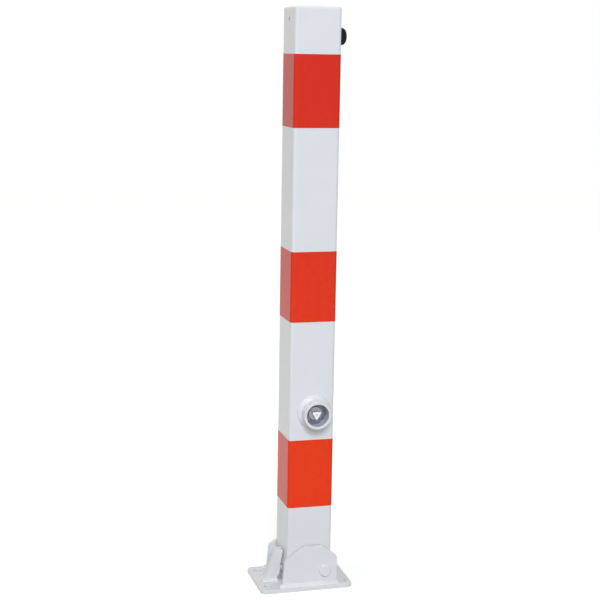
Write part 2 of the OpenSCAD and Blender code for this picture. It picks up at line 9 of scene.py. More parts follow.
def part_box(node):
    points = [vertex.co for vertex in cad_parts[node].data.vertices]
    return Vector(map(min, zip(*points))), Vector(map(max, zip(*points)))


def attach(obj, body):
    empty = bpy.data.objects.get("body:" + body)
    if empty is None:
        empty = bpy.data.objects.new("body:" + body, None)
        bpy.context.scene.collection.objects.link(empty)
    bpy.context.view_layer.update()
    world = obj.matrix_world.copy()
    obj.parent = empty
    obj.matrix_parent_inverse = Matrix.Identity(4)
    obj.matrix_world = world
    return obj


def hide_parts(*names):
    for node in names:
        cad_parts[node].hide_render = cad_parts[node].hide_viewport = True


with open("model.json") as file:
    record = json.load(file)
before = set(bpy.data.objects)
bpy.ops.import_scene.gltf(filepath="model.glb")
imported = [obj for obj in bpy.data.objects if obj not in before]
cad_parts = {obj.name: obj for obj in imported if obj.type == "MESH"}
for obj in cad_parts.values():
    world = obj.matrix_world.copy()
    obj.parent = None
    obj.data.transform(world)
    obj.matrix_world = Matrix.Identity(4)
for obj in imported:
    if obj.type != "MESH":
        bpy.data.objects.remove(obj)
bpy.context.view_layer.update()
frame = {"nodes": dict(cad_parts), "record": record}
nodes = frame["nodes"]
scene = bpy.context.scene
mm = 0.001

# The camera stands where the photograph was taken from
photoCamera = {
    "place": (-0.5528, -1.9878, 0.8159),
    "yaw": 15.386,
    "pitch": 10.207,
    "roll": 0.956,
    "lens": 83.16,
    "sensor": 36,
    "reach": 50,
}


def addCamera(values):
    yaw = math.radians(values["yaw"])
    pitch = math.radians(values["pitch"])
    roll = math.radians(values["roll"])
    level = math.cos(pitch)
    ahead = Vector((math.sin(yaw) * level, math.cos(yaw) * level, -math.sin(pitch)))
    right = Vector((math.cos(yaw), -math.sin(yaw), 0))
    up = right.cross(ahead)
    rolledRight = math.cos(roll) * right + math.sin(roll) * up
    rolledUp = math.cos(roll) * up - math.sin(roll) * right
    camera = bpy.data.objects.new("camera", bpy.data.cameras.new("camera"))
    scene.collection.objects.link(camera)
    turn = Matrix((rolledRight, rolledUp, -ahead)).transposed().to_4x4()
    camera.matrix_world = Matrix.Translation(values["place"]) @ turn
    camera.data.sensor_width = values["sensor"]
    camera.data.lens = values["lens"]
    camera.data.clip_end = values["reach"]
    scene.camera = camera


addCamera(photoCamera)
print("camera placed")

# Light: an even white room, with a large cool lamp in front and a small warm one at the upper left.
# The room that mirrors in the object falls to roomFront towards the front, where the direction's Y
# goes from frontStart to frontEnd
studio = {
    "room": 0.335,
    "roomColour": (1, 0.985, 0.905),
    "roomFront": 0.55,
    "frontStart": -0.2,
    "frontEnd": -0.8,
    "floorSize": 6,
    "floorDrop": 0.05 * mm,
    "floorColour": 0.6,
    "glowNear": 0.6,
    "glowFar": 0.77,
    "glowStart": 0.1,
    "glowEnd": 0.7,
}

frontLamp = {
    "place": (-1.0, -5.0, 3.7),
    "target": (0, 0, 0.42),
    "size": 2.4,
    "power": 265,
    "colour": (0.834, 0.877, 0.972),
}

topLamp = {
    "place": (-1.75, -0.35, 2.7),
    "target": (0, 0, 0.3),
    "size": 0.5,
    "power": 13,
    "colour": (1, 0.99, 0.95),
}


def addLamp(name, values):
    lamp = bpy.data.objects.new(name, bpy.data.lights.new(name, "AREA"))
    lamp.data.shape = "DISK"
    lamp.data.size = values["size"]
    lamp.data.energy = values["power"]
    lamp.data.color = values["colour"]
    lamp.location = values["place"]
    aim = Vector(values["target"]) - Vector(values["place"])
    lamp.rotation_euler = aim.to_track_quat("-Z", "Y").to_euler()
    scene.collection.objects.link(lamp)


def mathNode(tree, operation, first, second):
    node = tree.nodes.new("ShaderNodeMath")
    node.operation = operation
    for socket, value in ((node.inputs[0], first), (node.inputs[1], second)):
        if isinstance(value, (int, float)):
            socket.default_value = value
        else:
            tree.links.new(value, socket)
    return node.outputs[0]


# The rays for which the room and the floor show their white
def seenRays(tree):
    path = tree.nodes.new("ShaderNodeLightPath").outputs
    either = mathNode(tree, "MAXIMUM", path["Is Camera Ray"], path["Is Glossy Ray"])
    return mathNode(tree, "MAXIMUM", either, path["Is Transmission Ray"])


def mapRange(tree, value, low, high, toLow, toHigh):
    node = tree.nodes.new("ShaderNodeMapRange")
    node.inputs["From Min"].default_value = low
    node.inputs["From Max"].default_value = high
    node.inputs["To Min"].default_value = toLow
    node.inputs["To Max"].default_value = toHigh
    tree.links.new(value, node.inputs["Value"])
    return node.outputs["Result"]


def addRoom(values):
    world = bpy.data.worlds.new("white room")
    scene.world = world
    world.use_nodes = True
    tree = world.node_tree
    tree.nodes.clear()
    out = tree.nodes.new("ShaderNodeOutputWorld")
    lit = tree.nodes.new("ShaderNodeBackground")
    lit.inputs["Color"].default_value = values["roomColour"] + (1,)
    lit.inputs["Strength"].default_value = values["room"]
    seen = tree.nodes.new("ShaderNodeBackground")
    seen.inputs["Color"].default_value = (1, 1, 1, 1)
    direction = tree.nodes.new("ShaderNodeTexCoord").outputs["Generated"]
    parts = tree.nodes.new("ShaderNodeSeparateXYZ")
    tree.links.new(direction, parts.inputs[0])
    mirrored = mapRange(
        tree, parts.outputs["Y"], values["frontEnd"], values["frontStart"], values["roomFront"], 1
    )
    watched = tree.nodes.new("ShaderNodeLightPath").outputs["Is Camera Ray"]
    tree.links.new(mathNode(tree, "MAXIMUM", mirrored, watched), seen.inputs["Strength"])
    mix = tree.nodes.new("ShaderNodeMixShader")
    tree.links.new(seenRays(tree), mix.inputs[0])
    tree.links.new(lit.outputs[0], mix.inputs[1])
    tree.links.new(seen.outputs[0], mix.inputs[2])
    tree.links.new(mix.outputs[0], out.inputs[0])


def addFloor(values):
    bm = bmesh.new()
    bmesh.ops.create_grid(bm, x_segments=1, y_segments=1, size=values["floorSize"])
    bmesh.ops.translate(bm, vec=(0, 0, -values["floorDrop"]), verts=bm.verts)
    mesh = bpy.data.meshes.new("floor")
    bm.to_mesh(mesh)
    bm.free()
    floor = bpy.data.objects.new("floor", mesh)
    scene.collection.objects.link(floor)
    material = bpy.data.materials.new("white floor")
    material.use_nodes = True
    tree = material.node_tree
    tree.nodes.clear()
    out = tree.nodes.new("ShaderNodeOutputMaterial")
    matt = tree.nodes.new("ShaderNodeBsdfDiffuse")
    matt.inputs["Color"].default_value = (values["floorColour"],) * 3 + (1,)
    glow = tree.nodes.new("ShaderNodeEmission")
    away = tree.nodes.new("ShaderNodeVectorMath")
    away.operation = "LENGTH"
    tree.links.new(tree.nodes.new("ShaderNodeTexCoord").outputs["Object"], away.inputs[0])
    start, end = values["glowStart"], values["glowEnd"]
    strength = mapRange(
        tree, away.outputs["Value"], start, end, values["glowNear"], values["glowFar"]
    )
    tree.links.new(strength, glow.inputs["Strength"])
    both = tree.nodes.new("ShaderNodeAddShader")
    tree.links.new(matt.outputs[0], both.inputs[0])
    tree.links.new(glow.outputs[0], both.inputs[1])
    mix = tree.nodes.new("ShaderNodeMixShader")
    tree.links.new(seenRays(tree), mix.inputs[0])
    tree.links.new(matt.outputs[0], mix.inputs[1])
    tree.links.new(both.outputs[0], mix.inputs[2])
    tree.links.new(mix.outputs[0], out.inputs[0])
    mesh.materials.append(material)


addRoom(studio)
addFloor(studio)
addLamp("front lamp", frontLamp)
addLamp("top lamp", topLamp)
print("floor and light placed")


# Finishes. Each is a node material on Object coordinates
def newFinish(name):
    material = bpy.data.materials.new(name)
    material.use_nodes = True
    tree = material.node_tree
    shader = tree.nodes["Principled BSDF"]
    place = tree.nodes.new("ShaderNodeTexCoord").outputs["Object"]
    return material, tree, shader, place


# Noise whose lumps are about size metres across
def addNoise(tree, place, size, detail=2.0, rough=0.5):
    node = tree.nodes.new("ShaderNodeTexNoise")
    node.inputs["Scale"].default_value = 1 / size
    node.inputs["Detail"].default_value = detail
    node.inputs["Roughness"].default_value = rough
    tree.links.new(place, node.inputs["Vector"])
    return node.outputs["Fac"]


def addBump(tree, shader, height, depth, before=None):
    node = tree.nodes.new("ShaderNodeBump")
    node.inputs["Strength"].default_value = 1
    node.inputs["Distance"].default_value = depth
    tree.links.new(height, node.inputs["Height"])
    if before is not None:
        tree.links.new(before, node.inputs["Normal"])
    tree.links.new(node.outputs[0], shader.inputs["Normal"])
    return node.outputs[0]


def mixColour(tree, factor, first, second):
    node = tree.nodes.new("ShaderNodeMix")
    node.data_type = "RGBA"
    tree.links.new(factor, node.inputs["Factor"])
    for socket, value in ((node.inputs["A"], first), (node.inputs["B"], second)):
        if isinstance(value, tuple):
            socket.default_value = value + (1,)
        else:
            tree.links.new(value, socket)
    return node.outputs["Result"]


coat = {
    "light": (0.735, 0.75, 0.76),
    "shade": (0.715, 0.73, 0.742),
    "lowGrey": (0.62, 0.62, 0.6),
    "tintSize": 70 * mm,
    "lowGreyHeight": 16 * mm,
    "lowGreyAmount": 0.42,
    "speckSize": 5 * mm,
    "rubbed": 0.29,
    "dull": 0.38,
    "rubSize": 12 * mm,
    "gloss": 0.35,
    "glossRough": 0.3,
    "peelSize": 1.6 * mm,
    "peelDepth": 0.012 * mm,
}


# Slightly uneven white, greyer in specks near the ground, with the orange peel of powder coat
def paintWhite(tree, shader, place, values):
    tint = mapRange(tree, addNoise(tree, place, values["tintSize"], 3), 0.35, 0.65, 0, 1)
    colour = mixColour(tree, tint, values["shade"], values["light"])
    parts = tree.nodes.new("ShaderNodeSeparateXYZ")
    tree.links.new(place, parts.inputs[0])
    # Grey specks that thin out upwards and stop a little above the ground
    low = mapRange(tree, parts.outputs["Z"], 0, values["lowGreyHeight"], 1, 0)
    grains = addNoise(tree, place, values["speckSize"], 6, 0.65)
    specks = mapRange(tree, grains, 0.42, 0.7, 0, values["lowGreyAmount"])
    lowGrey = mathNode(tree, "MULTIPLY", low, specks)
    colour = mixColour(tree, lowGrey, colour, values["lowGrey"])
    tree.links.new(colour, shader.inputs["Base Color"])
    rubs = addNoise(tree, place, values["rubSize"], 3)
    rough = mapRange(tree, rubs, 0.3, 0.7, values["rubbed"], values["dull"])
    tree.links.new(rough, shader.inputs["Roughness"])
    shader.inputs["Coat Weight"].default_value = values["gloss"]
    shader.inputs["Coat Roughness"].default_value = values["glossRough"]
    peel = addNoise(tree, place, values["peelSize"], 1.5)
    addBump(tree, shader, peel, values["peelDepth"])


def whiteCoat():
    material, tree, shader, place = newFinish("white powder coat")
    paintWhite(tree, shader, place, coat)
    return material


# The lower bands are more orange than the upper one, as in the photograph
film = {
    "top": (0.755, 0.042, 0.024),
    "foot": (0.98, 0.066, 0.016),
    "topHeight": 0.76,
    "footHeight": 0.18,
    "grainSize": 9 * mm,
    "grain": 0.12,
    "roughness": 0.24,
    "beadSize": 0.35 * mm,
    "beadDepth": 0.004 * mm,
    "waveSize": 18 * mm,
    "waveDepth": 0.03 * mm,
    "ior": 1.1,
    "coverIor": 1.12,
    "coverTint": (0.9, 0.8, 0.8),
}


def redFilm():
    material, tree, shader, place = newFinish("red reflective film")
    parts = tree.nodes.new("ShaderNodeSeparateXYZ")
    tree.links.new(place, parts.inputs[0])
    height = mapRange(tree, parts.outputs["Z"], film["footHeight"], film["topHeight"], 0, 1)
    mottle = addNoise(tree, place, film["grainSize"], 4)
    grain = mapRange(tree, mottle, 0.3, 0.7, -film["grain"], film["grain"])
    blend = mathNode(tree, "ADD", height, grain)
    tree.links.new(mixColour(tree, blend, film["foot"], film["top"]), shader.inputs["Base Color"])
    shader.inputs["Roughness"].default_value = film["roughness"]
    shader.inputs["IOR"].default_value = film["ior"]
    shader.inputs["Coat Weight"].default_value = 1
    shader.inputs["Coat IOR"].default_value = film["coverIor"]
    shader.inputs["Coat Roughness"].default_value = film["roughness"]
    shader.inputs["Coat Tint"].default_value = film["coverTint"] + (1,)
    wave = addBump(tree, shader, addNoise(tree, place, film["waveSize"], 1), film["waveDepth"])
    addBump(tree, shader, addNoise(tree, place, film["beadSize"], 1), film["beadDepth"], wave)
    return material


steelGrain = {"size": 0.6 * mm, "depth": 0.01 * mm, "smoother": 0.06, "rougher": 0.08}
dullZinc = {
    "dark": (0.5, 0.53, 0.55),
    "light": (0.66, 0.69, 0.71),
    "roughness": 0.46,
    "spangle": 3 * mm,
}
brightZinc = {
    "dark": (0.7, 0.72, 0.74),
    "light": (0.86, 0.87, 0.88),
    "roughness": 0.26,
    "spangle": 2 * mm,
}
# Dark steel for the lock plate, made darker still as painted shade of the deep recess in the collar
lockPlateShadeLook = {
    "dark": (0.13, 0.14, 0.155),
    "light": (0.35, 0.37, 0.4),
    "roughness": 0.5,
    "spangle": 2 * mm,
}


# Steel with the spangle of its zinc, a little rougher where crystals meet
def zincPlate(name, values):
    material, tree, shader, place = newFinish(name)
    crystals = tree.nodes.new("ShaderNodeTexVoronoi")
    crystals.inputs["Scale"].default_value = 1 / values["spangle"]
    tree.links.new(place, crystals.inputs["Vector"])
    shade = mapRange(tree, addNoise(tree, place, values["spangle"] * 1.5, 4, 0.6), 0.3, 0.7, 0, 1)
    tree.links.new(mixColour(tree, shade, values["dark"], values["light"]), shader.inputs["Base Color"])
    shader.inputs["Metallic"].default_value = 1
    smooth = values["roughness"] - steelGrain["smoother"]
    dull = values["roughness"] + steelGrain["rougher"]
    rough = mapRange(tree, crystals.outputs["Distance"], 0, 0.8, smooth, dull)
    tree.links.new(rough, shader.inputs["Roughness"])
    addBump(tree, shader, addNoise(tree, place, steelGrain["size"], 3, 0.6), steelGrain["depth"])
    return material


rubberLook = {
    "colour": (0.007, 0.007, 0.008),
    "bloom": (0.016, 0.016, 0.017),
    "bloomSize": 6 * mm,
    "worn": 0.5,
    "dull": 0.56,
    "wearSize": 3 * mm,
    "ior": 1.22,
    "pitSize": 0.5 * mm,
    "pitDepth": 0.02 * mm,
}


def blackRubber():
    material, tree, shader, place = newFinish("black rubber")
    bloom = mapRange(tree, addNoise(tree, place, rubberLook["bloomSize"], 4), 0.45, 0.75, 0, 0.5)
    colour = mixColour(tree, bloom, rubberLook["colour"], rubberLook["bloom"])
    tree.links.new(colour, shader.inputs["Base Color"])
    wear = addNoise(tree, place, rubberLook["wearSize"], 3)
    rough = mapRange(tree, wear, 0.3, 0.7, rubberLook["worn"], rubberLook["dull"])
    tree.links.new(rough, shader.inputs["Roughness"])
    shader.inputs["IOR"].default_value = rubberLook["ior"]
    addBump(tree, shader, addNoise(tree, place, rubberLook["pitSize"], 3), rubberLook["pitDepth"])
    return material


nylonLook = {
    "dark": (0.66, 0.63, 0.55),
    "light": (0.78, 0.76, 0.7),
    "shadeSize": 4 * mm,
    "roughness": 0.45,
    "depth": 0.1,
    "depthRadius": (2 * mm, 2 * mm, 1.5 * mm),
    "grainSize": 0.8 * mm,
    "grainDepth": 0.01 * mm,
}


def naturalNylon():
    material, tree, shader, place = newFinish("natural nylon")
    shade = addNoise(tree, place, nylonLook["shadeSize"], 3)
    colour = mixColour(tree, shade, nylonLook["dark"], nylonLook["light"])
    tree.links.new(colour, shader.inputs["Base Color"])
    shader.inputs["Roughness"].default_value = nylonLook["roughness"]
    shader.inputs["Subsurface Weight"].default_value = nylonLook["depth"]
    shader.inputs["Subsurface Radius"].default_value = nylonLook["depthRadius"]
    addBump(tree, shader, addNoise(tree, place, nylonLook["grainSize"], 2), nylonLook["grainDepth"])
    return material


bronzeLook = {
    "dark": (0.42, 0.26, 0.1),
    "light": (0.68, 0.46, 0.22),
    "grainSize": 0.7 * mm,
    "grainDepth": 0.02 * mm,
    "roughness": 0.4,
}


def bearingBronze():
    material, tree, shader, place = newFinish("sintered bronze")
    shade = addNoise(tree, place, bronzeLook["grainSize"], 4, 0.7)
    colour = mixColour(tree, shade, bronzeLook["dark"], bronzeLook["light"])
    tree.links.new(colour, shader.inputs["Base Color"])
    shader.inputs["Metallic"].default_value = 1
    shader.inputs["Roughness"].default_value = bronzeLook["roughness"]
    addBump(tree, shader, shade, bronzeLook["grainDepth"])
    return material


collarSize = {
    "wall": 4 * mm,
    "rimRadius": 0.9 * mm,
    "rimSteps": 4,
    "steps": 96,
}
bareSteel = {
    "light": (0.7, 0.73, 0.77),
    "dark": (0.47, 0.5, 0.54),
    "blotchSize": 2.5 * mm,
    "metallic": 0.2,
    "roughness": 0.5,
    "skin": 0.15 * mm,
    "skinFade": 0.15 * mm,
    "from": 1.6 * mm,
    "fade": 1.2 * mm,
    "edgeSize": 3 * mm,
    "edgeDepth": 0.8 * mm,
}

collarLow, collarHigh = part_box("lock_collar")
lockX = (collarLow.x + collarHigh.x) / 2
lockZ = (collarLow.z + collarHigh.z) / 2
collarOuter = (collarHigh.x - collarLow.x) / 2
collarInner = collarOuter - collarSize["wall"]


# Distance of a point from the lock's axis
def fromLockAxis(tree, place):
    centre = tree.nodes.new("ShaderNodeMapping")
    centre.inputs["Location"].default_value = (-lockX, 0, -lockZ)
    tree.links.new(place, centre.inputs["Vector"])
    flat = tree.nodes.new("ShaderNodeVectorMath")
    flat.operation = "MULTIPLY"
    flat.inputs[1].default_value = (1, 0, 1)
    tree.links.new(centre.outputs[0], flat.inputs[0])
    length = tree.nodes.new("ShaderNodeVectorMath")
    length.operation = "LENGTH"
    tree.links.new(flat.outputs[0], length.inputs[0])
    return length.outputs["Value"]


# White outside, with the bare pipe behind the rim
def collarCoat():
    material, tree, shader, place = newFinish("white coat, bare inside")
    paintWhite(tree, shader, place, coat)
    bare = tree.nodes.new("ShaderNodeBsdfPrincipled")
    bare.inputs["Metallic"].default_value = bareSteel["metallic"]
    bare.inputs["Roughness"].default_value = bareSteel["roughness"]
    blotch = mapRange(tree, addNoise(tree, place, bareSteel["blotchSize"], 5, 0.65), 0.35, 0.65, 0, 1)
    colour = mixColour(tree, blotch, bareSteel["dark"], bareSteel["light"])
    tree.links.new(colour, bare.inputs["Base Color"])
    radius = fromLockAxis(tree, place)
    skin = collarInner + bareSteel["skin"]
    inside = mapRange(tree, radius, skin, skin + bareSteel["skinFade"], 1, 0)
    parts = tree.nodes.new("ShaderNodeSeparateXYZ")
    tree.links.new(place, parts.inputs[0])
    edge = addNoise(tree, place, bareSteel["edgeSize"], 3)
    ragged = mapRange(tree, edge, 0.3, 0.7, -bareSteel["edgeDepth"], bareSteel["edgeDepth"])
    depth = mathNode(tree, "ADD", parts.outputs["Y"], ragged)
    rim = collarLow.y + bareSteel["from"]
    deep = mapRange(tree, depth, rim, rim + bareSteel["fade"], 0, 1)
    mix = tree.nodes.new("ShaderNodeMixShader")
    tree.links.new(mathNode(tree, "MULTIPLY", inside, deep), mix.inputs[0])
    tree.links.new(shader.outputs[0], mix.inputs[1])
    tree.links.new(bare.outputs[0], mix.inputs[2])
    tree.links.new(mix.outputs[0], tree.nodes["Material Output"].inputs["Surface"])
    return material


finishes = {
    "white_coat": whiteCoat(),
    "red_film": redFilm(),
    "zinc_plate": zincPlate("dull zinc", dullZinc),
    "bright_zinc": zincPlate("bright zinc", brightZinc),
    "black_rubber": blackRubber(),
    "shim_plastic": naturalNylon(),
    "bearing_bronze": bearingBronze(),
}
lockPlateShadeSteel = zincPlate("lock steel with painted recess shade", lockPlateShadeLook)

keyLook = {
    "flangeFrom": -42.2 * mm,
    "flangeBlend": 0.1 * mm,
    "flange": (0.4, 0.42, 0.45),
    "flangeRough": 0.46,
    "head": (0.8, 0.81, 0.83),
    "headRough": 0.3,
    "dimpleShade": (0.6, 0.62, 0.65),
    "dimpleShadeRadius": 1.8 * mm,
    "dimpleShadeFade": 1.08 * mm,
    "wearSize": 2.5 * mm,
    "wear": 0.85,
}


# Dull flange, and a head that the key keeps bright, with painted shade of a dimple in its middle
def keySteel():
    material, tree, shader, place = newFinish("key steel")
    parts = tree.nodes.new("ShaderNodeSeparateXYZ")
    tree.links.new(place, parts.inputs[0])
    start = keyLook["flangeFrom"] - keyLook["flangeBlend"]
    end = keyLook["flangeFrom"] + keyLook["flangeBlend"]
    flange = mapRange(tree, parts.outputs["Y"], start, end, 0, 1)
    rubs = addNoise(tree, place, keyLook["wearSize"], 4, 0.6)
    wear = mapRange(tree, rubs, 0.3, 0.7, keyLook["wear"], 1)
    worn = tree.nodes.new("ShaderNodeVectorMath")
    worn.operation = "SCALE"
    # A darker spot in the head's middle, painted as the shade of a dimple that the mesh doesn't have
    dimpleShadeEdge = keyLook["dimpleShadeRadius"]
    dimpleShade = mapRange(tree, fromLockAxis(tree, place), dimpleShadeEdge, dimpleShadeEdge + keyLook["dimpleShadeFade"], 1, 0)
    face = mixColour(tree, dimpleShade, keyLook["head"], keyLook["dimpleShade"])
    tree.links.new(mixColour(tree, flange, face, keyLook["flange"]), worn.inputs[0])
    tree.links.new(wear, worn.inputs["Scale"])
    tree.links.new(worn.outputs[0], shader.inputs["Base Color"])
    shader.inputs["Metallic"].default_value = 1
    rough = mapRange(tree, flange, 0, 1, keyLook["headRough"], keyLook["flangeRough"])
    tree.links.new(rough, shader.inputs["Roughness"])
    addBump(tree, shader, addNoise(tree, place, steelGrain["size"], 3, 0.6), steelGrain["depth"])
    return material


print("finishes made")

slotOf = {row["node"]: row["material_slot"] for row in frame["record"]["subparts"]}
for name, node in nodes.items():
    node.data.materials.clear()
    node.data.materials.append(finishes[slotOf[name]])
# The lock plate takes the steel that is darkened as painted shade of the recess
nodes["lock_plate"].data.materials[0] = lockPlateShadeSteel
bodies = frame["record"]["behaviour"]["bodies"]
bodyOf = {name: body for body, members in bodies.items() for name in members}

meshCare = {
    "sameSpot": 0.002 * mm,
    "flatAngle": 0.6,
    "hardAngle": 28,
    "smoothAngle": 35,
    "weldSmoothAngle": 60,
    "faceWeight": 80,
}


# A new piece from bm, which rides with the nodes that it stands for and replaces them
def finishPiece(name, bm, material, standsFor, smoothAngle=meshCare["smoothAngle"]):
    mesh = bpy.data.meshes.new(name)
    bm.to_mesh(mesh)
    bm.free()
    mesh.materials.append(material)
    mesh.polygons.foreach_set("use_smooth", [True] * len(mesh.polygons))
    mesh.set_sharp_from_angle(angle=math.radians(smoothAngle))
    piece = bpy.data.objects.new(name, mesh)
    scene.collection.objects.link(piece)
    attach(piece, bodyOf[standsFor[0]])
    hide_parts(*standsFor)
    return piece


def evenNormals(piece):
    shading = piece.modifiers.new("even normals", "WEIGHTED_NORMAL")
    shading.keep_sharp = True
    shading.weight = meshCare["faceWeight"]


# A joined copy of a CAD node's mesh, with its flat faces whole again
def mergedCopy(nodeName):
    bm = bmesh.new()
    bm.from_mesh(nodes[nodeName].data)
    bmesh.ops.remove_doubles(bm, verts=bm.verts, dist=meshCare["sameSpot"])
    flat = math.radians(meshCare["flatAngle"])
    bmesh.ops.dissolve_limit(bm, angle_limit=flat, verts=bm.verts, edges=bm.edges)
    return bm


# Points the faces of a closed form outwards. Recalculation alone turns some long thin forms inside out
def faceOutwards(bm):
    bmesh.ops.recalc_face_normals(bm, faces=bm.faces)
    if bm.calc_volume(signed=True) < 0:
        bmesh.ops.reverse_faces(bm, faces=bm.faces)


def roundEdges(bm, edges, width, steps):
    bmesh.ops.bevel(
        bm, geom=edges, offset=width, offset_type="OFFSET", segments=steps, profile=0.5,
        affect="EDGES", material=-1, clamp_overlap=True,
    )


# The node with its hard edges rounded, all of them or those whose middle keep() names.
# extra() adds closed forms to the same mesh
def softened(name, nodeName, width, keep=None, material=None, extra=None):
    bm = mergedCopy(nodeName)
    hardAngle = math.radians(meshCare["hardAngle"])
    hard = [
        e
        for e in bm.edges
        if len(e.link_faces) == 2
        and e.calc_face_angle() > hardAngle
        and (keep is None or keep((e.verts[0].co + e.verts[1].co) / 2))
    ]
    roundEdges(bm, hard, width, edgeRadius["steps"])
    if extra:
        extra(bm)
    piece = finishPiece(name, bm, material or finishes[slotOf[nodeName]], [nodeName])
    evenNormals(piece)
    return piece


# Only the plate's edges above plateFrom are rounded, and the post's below postUpTo
edgeRadius = {
    "plate": 0.9 * mm,
    "cheek": 0.4 * mm,
    "keeper": 0.9 * mm,
    "post": 0.5 * mm,
    "spindle": 0.45 * mm,
    "steps": 3,
    "plateFrom": 3 * mm,
    "postUpTo": 80 * mm,
}
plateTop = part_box("base_plate")[1].z
keeperLow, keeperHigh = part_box("keeper")

keeperSize = {
    "lean": 22,
    "thick": 17 * mm,
    "notchFrom": 17 * mm,
    "notchTo": 28 * mm,
    "notchTip": 5.4 * mm,
    "notchMargin": 0.5 * mm,
    "notchWall": 1.8 * mm,
    "wallSunk": 0.02 * mm,
    "wallLap": 0.4 * mm,
}
keeperLean = math.radians(keeperSize["lean"])
keeperFoot = keeperLow.x + keeperSize["thick"] / 2 / math.cos(keeperLean)


# A point of the keeper, from its distance across the leaning bar and along it
def onKeeper(across, along, y):
    x = keeperFoot + across * math.cos(keeperLean) + along * math.sin(keeperLean)
    z = plateTop - across * math.sin(keeperLean) + along * math.cos(keeperLean)
    return Vector((x, y, z))


# Whether the point isn't on the notch, whose edges stay sharp
def outsideNotch(point):
    x = point.x - keeperFoot
    z = point.z - plateTop
    across = x * math.cos(keeperLean) - z * math.sin(keeperLean)
    along = x * math.sin(keeperLean) + z * math.cos(keeperLean)
    margin = keeperSize["notchMargin"]
    beside = keeperSize["notchFrom"] - margin < along < keeperSize["notchTo"] + margin
    return across < -margin or not beside


# The thin wall that closes the front of the notch
def notchFront(bm):
    lap = keeperSize["wallLap"]
    low = keeperSize["notchFrom"]
    high = keeperSize["notchTo"]
    near = keeperLow.y + keeperSize["wallSunk"]
    far = keeperLow.y + keeperSize["notchWall"]
    corners = (
        (-lap, low - lap),
        (keeperSize["thick"] / 2 - lap, low - lap),
        (keeperSize["thick"] / 2, low),
        (keeperSize["notchTip"], high),
        (keeperSize["notchTip"], high + lap),
        (-lap, high + lap),
    )
    front = [bm.verts.new(onKeeper(u, s, near)) for u, s in corners]
    back = [bm.verts.new(onKeeper(u, s, far)) for u, s in corners]
    faces = [bm.faces.new(front), bm.faces.new(back)]
    for i in range(len(corners)):
        j = (i + 1) % len(corners)
        faces.append(bm.faces.new((front[i], front[j], back[j], back[i])))
    bmesh.ops.recalc_face_normals(bm, faces=faces)


softened("coatedPlate", "base_plate", edgeRadius["plate"], lambda p: p.z > edgeRadius["plateFrom"])
softened("coatedFrontCheek", "front_cheek", edgeRadius["cheek"])
softened("coatedRearCheek", "rear_cheek", edgeRadius["cheek"])
softened("coatedKeeper", "keeper", edgeRadius["keeper"], outsideNotch, extra=notchFront)
softened("coatedPost", "post_tube", edgeRadius["post"], lambda p: p.z < edgeRadius["postUpTo"])
softened("keyedSpindle", "key_spindle", edgeRadius["spindle"], material=keySteel())
print("post, plate, cheeks, keeper and spindle softened")


# A full turn of all that bm holds
def turnAround(bm, centre, axis, steps):
    profile = bm.verts[:] + bm.edges[:]
    bmesh.ops.spin(
        bm, geom=profile, cent=centre, axis=axis, angle=math.tau, steps=steps, use_merge=True
    )
    bmesh.ops.remove_doubles(bm, verts=bm.verts, dist=meshCare["sameSpot"])


def aroundLock(bm, steps):
    turnAround(bm, (lockX, 0, lockZ), (0, 1, 0), steps)
    faceOutwards(bm)


# A closed loop of edges in the plane through the lock's axis, from distances r and y
def ringProfile(bm, points):
    verts = [bm.verts.new((lockX + r, y, lockZ)) for r, y in points]
    for a, b in zip(verts, verts[1:] + verts[:1]):
        bm.edges.new((a, b))


def lockCollar():
    bm = bmesh.new()
    back = collarHigh.y
    front = collarLow.y
    inner, outer = collarInner, collarOuter
    ringProfile(bm, [(inner, back), (outer, back), (outer, front), (inner, front)])
    aroundLock(bm, collarSize["steps"])
    rim = [
        e
        for e in bm.edges
        if all(abs(v.co.y - front) < meshCare["sameSpot"] for v in e.verts)
        and e.calc_length() < collarSize["wall"] / 2
    ]
    roundEdges(bm, rim, collarSize["rimRadius"], collarSize["rimSteps"])
    piece = finishPiece("lockCollar", bm, collarCoat(), ["lock_collar"])
    evenNormals(piece)


lockCollar()

# A bead shows its skin from the flat to upright and a little past both, by beyond in radians.
# root is how far the rest of it reaches into the metal
weld = {
    "ripple": 0.16 * mm,
    "pitch": 2.1 * mm,
    "bow": 0.5,
    "unevenness": 0.35 * mm,
    "swayPerMetre": 160,
    "convex": 0.35,
    "beyond": 0.3,
    "root": 1.6 * mm,
    "segments": 32,
    "cheekLeg": 5 * mm,
    "cheekRings": 220,
    "keeperLeg": 4 * mm,
    "keeperRings": 90,
    "collarLeg": 5.5 * mm,
    "collarSteps": 168,
    "collarStart": 2 * mm,
    "collarFade": 12 * mm,
    "collarSeed": 6.2,
}


# Distance of the bead's skin from the corner that it fills, at this turn from the flat
def beadRadius(turn, along, leg, seed):
    if not -weld["beyond"] < turn < math.pi / 2 + weld["beyond"]:
        return weld["root"]
    sway = noise.noise(Vector((along * weld["swayPerMetre"], seed, 0))) * weld["unevenness"]
    inner = min(max(turn, 0), math.pi / 2)
    flat = leg / (math.cos(inner) + math.sin(inner))
    skin = flat * (1 - weld["convex"]) + leg * weld["convex"]
    middle = math.sin(2 * inner)
    wave = math.tau * (along - leg * weld["bow"] * middle) / weld["pitch"]
    return skin + math.sin(wave) * weld["ripple"] * middle + sway


